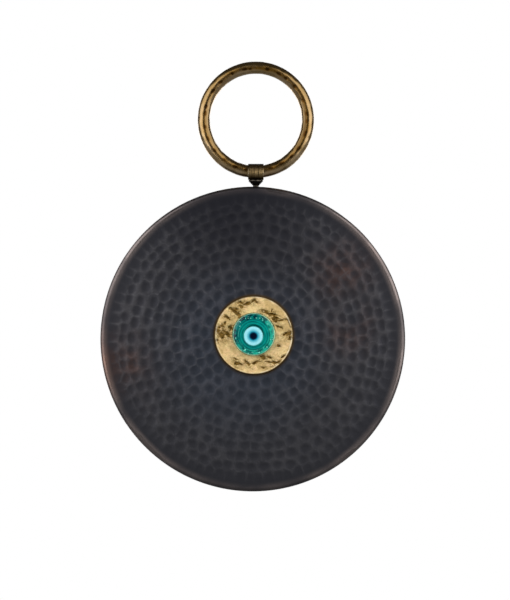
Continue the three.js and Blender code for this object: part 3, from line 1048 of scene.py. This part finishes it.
def make_medallion():
    angle = round_angles(MEDALLION_SEGMENTS)
    sections = medallion_sections(np.stack([np.cos(angle), np.sin(angle)], axis=1))
    flat = np.vstack([section[0] for section in sections])
    y = np.repeat([section[1] for section in sections], MEDALLION_SEGMENTS)
    from_pocket = np.hypot(*(flat - POCKET_PLACE).T) - POCKET_R
    inside = smoothstep(0.1, 1.6, np.minimum(MEDALLION_R - np.hypot(*flat.T), from_pocket))
    on_face = (y < MEDALLION_LOW[1] + 0.3).astype(float)
    masks = medallion_masks(flat, on_face)
    gouges = GOUGE_DEPTH * masks["gouge"] * (0.35 + 0.65 * inside)
    y = y + on_face * (gouges + WAVE_DEPTH * masks["waves"] * inside + 0.02)
    points = placed(flat, y, MEDALLION_MIDDLE)
    return loop_piece("gouged_medallion", points, MEDALLION_SEGMENTS, masks, sharp_angle=50)


def medallion_material():
    m = Material("pale_gold_brass", metallic=1.0)
    cloud = m.span(m.noise(5, 4), 0.35, 0.65)
    gold = m.mix(cloud, (0.99, 0.80, 0.41), (0.97, 0.70, 0.39))
    gold = m.mix(m.span("waves", 0.35, 0.75), gold, (0.74, 0.54, 0.25))
    streaks = m.span(m.noise(1.2, 4, 0.65, stretch=(0.4, 1, 1)), 0.42, 0.62)
    gold = m.mix(m.times(streaks, 0.6), gold, (0.80, 0.58, 0.27))
    speck = m.span(m.noise(1.3, 5, 0.7), 0.52, 0.66)
    gold = m.mix(m.times(speck, 0.5), gold, (0.48, 0.32, 0.09))
    olive = m.times("halo", m.span(m.noise(1.6, 5, 0.7), 0.35, 0.62))
    gold = m.mix(m.times(olive, 0.75), gold, (0.32, 0.21, 0.055))
    burnt = m.span(m.noise(1.2, 4, stretch=(0.4, 1, 1)), 0.35, 0.65)
    burnt = m.mix(burnt, (0.055, 0.028, 0.003), (0.30, 0.175, 0.042))
    specks = m.times("halo", m.span(m.noise(0.9, 3, 0.6), 0.54, 0.62))
    gold = m.mix(m.times(specks, 0.8), gold, burnt)
    ragged = m.span(m.noise(0.8, 5, 0.7, stretch=(0.45, 1, 1)), 0.3, 0.7, -0.35, 0.35)
    edge = m.math("ADD", "gouge", ragged)
    gold = m.mix(m.span(edge, 0.1, 0.85), gold, burnt)
    # A painted highlight round the rim, stronger to the right.
    rubbed = m.times("rim", m.span(m.noise(7, 3), 0.4, 0.6, 0.2, 1.0))
    gold = m.mix(rubbed, gold, (0.96, 0.87, 0.68))
    # Painted shade with patina at the side and off the face.
    gold = m.mix("side", gold, (0.09, 0.05, 0.014))
    m.set(base_color=gold, roughness=m.span(m.noise(1.4, 5), 0.3, 0.7, 0.56, 0.7))
    m.set(normal=m.bump(m.noise(0.9, 5, 0.65), 0.12))
    return m.data


# ---- Glass eye ----

BEAD_SEGMENTS = 300
BEAD_EDGE_R = 2.4
BEAD_DOME = 0.5
BEAD_FRONT_DEPTH = 2.5
BAND_IN = (9.6, 10.6)
BAND_OUT = (13.2, 13.8)
BAND_RELIEF = 0.06
RIPPLES = (7.45, 9.1, 10.6)
RIPPLE_WIDTH = 0.42
RIPPLE_RELIEF = 0.02
# Which way the painted glow in the glass is brightest.
GLOW_TURN = math.radians(-40)
SOCKET_GAP = 0.03
GLASS = {"ior": 1.5, "specular_ior_level": 0.25}

# How far each of the eye's layers stands out from the one round it, and how much it bulges.
EYE_STEP = 0.04
EYE_DOME = 0.04
# The layers' colours, each at its distance from the eye's middle.
PALE = (0.19, 0.59, 0.69)
WHITE = (0.30, 0.73, 0.81)
IRIS = [(4.0, PALE), (4.7, WHITE), (5.8, WHITE), (6.1, (0.15, 0.48, 0.50)), (6.4, (0.01, 0.20, 0.19))]
IRIS_INNER = [(1.8, (0.0, 0.010, 0.045)), (2.5, (0.0, 0.12, 0.20)), (3.2, (0.05, 0.39, 0.51)), (4.0, PALE)]
PUPIL = [(0.0, (0.0, 0.002, 0.012)), (1.7, (0.0, 0.004, 0.018)), (2.3, (0.0, 0.035, 0.075))]
# Each layer's name, node, rounding, the node set into it, and its glass.
EYE_LAYERS = [
    ("iris_lens", "iris_disc", 0.25, "iris_inner", "white_glass", IRIS),
    ("iris_inner_lens", "iris_inner", 0.12, "pupil", "blue_glass", IRIS_INNER),
    ("pupil_lens", "pupil", 0.1, None, "navy_glass", PUPIL),
]


def bead_profile():
    """The bead's section as (radius, y), from the middle of its socket, over its face, to its back."""
    front, back = BEAD_LOW[1], BEAD_HIGH[1]
    socket_floor = box_mm("iris_disc")[1][1] + SOCKET_GAP
    socket_r = half_width("iris_disc") + SOCKET_GAP
    face_r = BEAD_R - BEAD_EDGE_R
    radii = np.linspace(socket_r, face_r, 50)
    face = np.stack([radii, front + BEAD_DOME * (radii / face_r) ** 2], axis=1)
    t = np.radians(np.linspace(-90, 0, 16))[1:]
    turn = [face_r + BEAD_EDGE_R * np.cos(t), front + BEAD_DOME + BEAD_EDGE_R * (1 + np.sin(t))]
    wall = [(0.1, socket_floor), (socket_r - 0.3, socket_floor), (socket_r, socket_floor - 0.3)]
    tail = [(BEAD_R, back - 1.2), (BEAD_R - 0.4, back - 0.3), (BEAD_R - 1.2, back), (6.0, back)]
    return np.vstack([wall, face, np.transpose(turn), tail])


def make_bead():
    profile = bead_profile()
    radius = np.repeat(profile[:, 0], BEAD_SEGMENTS)
    angle = np.tile(round_angles(BEAD_SEGMENTS), len(profile))
    y = np.repeat(profile[:, 1], BEAD_SEGMENTS)
    flat = np.stack([radius * np.cos(angle), radius * np.sin(angle)], axis=1)
    crinkle = Noise(seed=81)(flat, 1.5, 2)
    streak = Noise(seed=83)(np.stack([7 * np.cos(angle), 7 * np.sin(angle), radius * 3], axis=1), 2.2, 2)
    in_front = y < BEAD_LOW[1] + BEAD_FRONT_DEPTH
    band = smoothstep(*BAND_IN, radius) * (1 - smoothstep(*BAND_OUT, radius)) * in_front
    from_eye = np.hypot(*(flat - 0.8 * (EYE_MIDDLE - BEAD_MIDDLE)[[0, 2]]).T)
    wander = from_eye + 0.12 * np.sin(2 * angle) + 0.08 * np.sin(5 * angle + 1)
    ripple = in_front * sum(bell((wander - r) / RIPPLE_WIDTH) for r in RIPPLES)
    y = y + BAND_RELIEF * band * (0.6 * crinkle + 0.8 * streak + 0.5) + RIPPLE_RELIEF * ripple
    ends = [(BEAD_MIDDLE[0], profile[k, 1], BEAD_MIDDLE[2]) for k in (0, -1)]
    masks = {
        "band": band,
        "ripple": ripple,
        "radius": radius * in_front,
        # A painted glow, as of light passing through the glass, brightest towards the lower right, with
        # streaks in it.
        "swirl": 0.5 + 0.5 * np.cos(angle - GLOW_TURN) + 0.25 * streak,
    }
    masks = {key: np.append(values, [0, 0]) for key, values in masks.items()}
    points = np.vstack([placed(flat, y, BEAD_MIDDLE), ends])
    return new_piece("glass_bead", points, capped_faces(len(profile), BEAD_SEGMENTS), masks, sharp_angle=60)


def bead_material():
    m = Material("teal_glass", roughness=0.1, **GLASS)
    body = m.mix(m.span(m.noise(6, 3), 0.3, 0.7), (0.0, 0.21, 0.185), (0.0, 0.29, 0.24))
    # Painted glow: the glass brighter towards the lower right.
    glow = m.span("swirl", 0.1, 0.9)
    rough_body = m.mix(glow, (0.0, 0.155, 0.138), (0.014, 0.39, 0.275))
    body = m.mix("band", body, rough_body)
    rings = m.times("ripple", m.span(m.noise(4, 3), 0.35, 0.65, 0.5, 0.95))
    body = m.mix(rings, body, (0.0, 0.055, 0.060))
    cracks = m.times(m.span(m.noise(3.2, 4, 0.6), 0.42, 0.54, 1.0, 0.0), "band")
    cracks = m.times(cracks, m.span(glow, 0, 1, 1.0, 0.55))
    body = m.mix(cracks, body, (0.0, 0.022, 0.032))
    glitter = m.times(m.span(m.noise(1.3, 2, 0.5), 0.63, 0.72), "band")
    body = m.mix(glitter, body, (0.30, 0.90, 0.75))
    # A painted highlight on the glass's outer edge, paler where the painted glow is.
    lip = m.span("radius", 13.1, 13.6)
    lip = m.times(lip, m.span(m.noise(5, 3), 0.35, 0.65, 0.4, 1.0))
    edge_glint_color = m.mix(glow, (0.42, 0.60, 0.38), (0.60, 0.82, 0.48))
    m.set(base_color=m.mix(lip, body, edge_glint_color))
    return m.data


def eye_layer(name, node, front, edge, within):
    """A low lens of glass with its edge rolled over, and a socket for the layer that sits within it."""
    radius, back = half_width(node), box_mm(node)[1][1]
    inner, start = np.empty((0, 2)), 0.0
    if within:
        start = half_width(within) + SOCKET_GAP
        floor = box_mm(within)[1][1] + SOCKET_GAP
        inner = [(0, floor), (start / 2, floor), (start - 0.1, floor), (start, floor - 0.1)]
    radii = np.linspace(start, radius - edge, 20)
    face = np.stack([radii, front + EYE_DOME * (radii / radius) ** 2], axis=1)
    t = np.radians(np.linspace(-90, 0, 8))[1:]
    turn = [radius - edge + edge * np.cos(t), face[-1, 1] + edge * (1 + np.sin(t))]
    profile = np.vstack([inner, face, np.transpose(turn), [(radius, back), (0, back)]])
    piece = turned(name, profile, EYE_MIDDLE, "Y", 128)
    away = np.array([v.co for v in piece.data.vertices])[:, [0, 2]] / MM - EYE_MIDDLE[[0, 2]]
    layer = piece.data.attributes.new("radius", "FLOAT", "POINT")
    layer.data.foreach_set("value", np.hypot(*away.T).astype(np.float32))
    return piece


def eye_material(name, stops):
    """Glass shaded by its distance from the eye's middle, in millimetres."""
    reach = stops[-1][0]
    m = Material(name, roughness=0.08, **GLASS)
    wobble = m.times(m.math("SUBTRACT", m.noise(2.4, 2), 0.5), 0.35)
    radius = m.math("ADD", "radius", wobble)
    m.set(base_color=m.ramp(m.math("DIVIDE", radius, reach), [(r / reach, color) for r, color in stops]))
    return m.data


def adhesive_material():
    m = Material("cured_epoxy", roughness=0.4)
    m.set(base_color=m.mix(m.noise(2, 3), (0.60, 0.52, 0.36), (0.72, 0.66, 0.5)))
    return m.data


# ---- Studio ----

CAMERA_DISTANCE = 2500.0
CAMERA_SENSOR = 36.0
VIEW_HEIGHT = 394.0
VIEW_SIDESTEP = 1.45
VIEW_DROP = -15.45

# Each softbox's name, azimuth, elevation, distance and size in metres, and radiance.
SOFTBOXES = [
    ("left_softbox", -53, 17, 1.3, (1.65, 1.5), 2.3),
    ("right_softbox", 53, 17, 1.3, (1.65, 1.5), 2.3),
    ("back_softbox", 180, 12, 2.5, (1.2, 1.2), 3.0),
    ("back_left_softbox", -152, 4, 2.2, (0.9, 1.9), 2.4),
    ("back_right_softbox", 152, 4, 2.2, (0.9, 1.9), 2.4),
]
# How bright the room is from straight below, -1, to straight above, 1. A table lights it from below.
ROOM_LIGHT = [(-1.0, 0.18), (-0.6, 0.32), (-0.15, 0.10), (0.3, 0.09), (0.7, 0.12), (1.0, 0.13)]
ROOM_COLOR = (0.94, 0.97, 1.0)

FLOOR_HEIGHT = -750.0
FLOOR_R = 1300.0
FLOOR_SIDES = 96


def make_camera():
    """Straight in front, far enough off to see the ornament almost without perspective."""
    data = bpy.data.cameras.new("camera")
    data.sensor_width = CAMERA_SENSOR
    data.lens = CAMERA_SENSOR * CAMERA_DISTANCE / VIEW_HEIGHT
    data.clip_end = 20
    camera = add_object("camera", data)
    place = (WHOLE_MIDDLE[0] + VIEW_SIDESTEP, -CAMERA_DISTANCE, WHOLE_MIDDLE[2] + VIEW_DROP)
    camera.location = Vector(place) * MM
    camera.rotation_euler = (math.radians(90), 0, 0)
    bpy.context.scene.camera = camera


def softbox(name, azimuth, elevation, distance, size, radiance):
    """A rectangular lamp facing the ornament. Azimuth turns from the front to the right."""
    data = bpy.data.lights.new(name, "AREA")
    data.shape = "RECTANGLE"
    data.size, data.size_y = size
    data.energy = radiance * math.pi * size[0] * size[1]
    lamp = add_object(name, data)
    a, e = math.radians(azimuth), math.radians(elevation)
    toward = Vector((math.sin(a) * math.cos(e), -math.cos(a) * math.cos(e), math.sin(e)))
    lamp.location = Vector(WHOLE_MIDDLE * MM) + toward * distance
    lamp.rotation_euler = toward.to_track_quat("Z", "Y").to_euler()


def make_world():
    """A white backdrop for the camera, and for everything else a dim room."""
    world = bpy.data.worlds.new("studio")
    bpy.context.scene.world = world
    n = Nodes(world)
    height = n.node("ShaderNodeSeparateXYZ")
    n.link(n.node("ShaderNodeTexCoord").outputs["Generated"], height.inputs[0])
    up = n.node("ShaderNodeMapRange")
    up.inputs["From Min"].default_value = -1.0
    n.link(height.outputs["Z"], up.inputs["Value"])
    stops = [((place + 1) / 2, (light,) * 3) for place, light in ROOM_LIGHT]
    room = n.tree.nodes["Background"]
    n.link(ROOM_COLOR, room.inputs["Color"])
    n.link(n.ramp(up.outputs[0], stops), room.inputs["Strength"])
    backdrop = n.node("ShaderNodeBackground")
    n.link((1.0, 1.0, 1.0), backdrop.inputs["Color"])
    mix = n.node("ShaderNodeMixShader")
    n.link(n.node("ShaderNodeLightPath").outputs["Is Camera Ray"], mix.inputs["Fac"])
    n.link(room.outputs[0], mix.inputs[1])
    n.link(backdrop.outputs[0], mix.inputs[2])
    n.link(mix.outputs[0], n.tree.nodes["World Output"].inputs["Surface"])


def make_floor():
    """A round pale floor, well below the ornament."""
    points = [(FLOOR_R * math.cos(t), FLOOR_R * math.sin(t), FLOOR_HEIGHT) for t in round_angles(FLOOR_SIDES)]
    mesh = bpy.data.meshes.new("floor")
    mesh.from_pydata((np.array(points) * MM).tolist(), [], [list(range(FLOOR_SIDES))])
    floor = add_object("floor", mesh)
    m = Material("pale_floor", roughness=0.7)
    m.set(base_color=m.mix(m.noise(60, 3), (0.80, 0.80, 0.79), (0.84, 0.84, 0.83)))
    mesh.materials.append(m.data)
    floor.visible_glossy = False


def make_studio():
    make_camera()
    make_world()
    make_floor()
    for settings in SOFTBOXES:
        softbox(*settings)
    bpy.context.scene.view_settings.view_transform = "Standard"


# ---- The ornament ----


def make_fasteners(place, size, axis, steel):
    """A screw with its washer and nut, at the hanger or the medallion."""
    screw = make_screw(f"{place}_countersunk_screw", f"{place}_screw", size, axis)
    finish_piece(screw, steel, f"{place}_screw")
    washer = make_washer(f"{place}_flat_washer", f"{place}_washer", size, axis)
    finish_piece(washer, steel, f"{place}_washer")
    nut = make_nut(f"{place}_hex_nut", f"{place}_nut", size, axis)
    finish_piece(nut, steel, f"{place}_nut")


def make_eye():
    for k, (name, node, edge, within, glass, stops) in enumerate(EYE_LAYERS):
        layer = eye_layer(name, node, EYE_FRONT_Y - k * EYE_STEP, edge, within)
        finish_piece(layer, eye_material(glass, stops), node)


def make_ornament():
    steel = steel_material()
    finish_piece(make_ring(), ring_material(), "hanging_ring", body="ring")
    finish_piece(make_strap(), strap_material(), "ring_strap")
    finish_piece(make_collar(), collar_material(), "hanger_collar")
    make_fasteners("hanger", M2, "Z", steel)
    finish_piece(make_pan(), pan_material(), "face_pan")
    finish_piece(make_medallion(), medallion_material(), "medallion")
    make_fasteners("medallion", M3, "Y", steel)
    finish_piece(make_bead(), bead_material(), "bead_body")
    make_eye()
    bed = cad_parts["bead_adhesive"]
    bed.data.materials.clear()
    bed.data.materials.append(adhesive_material())


make_studio()
make_ornament()
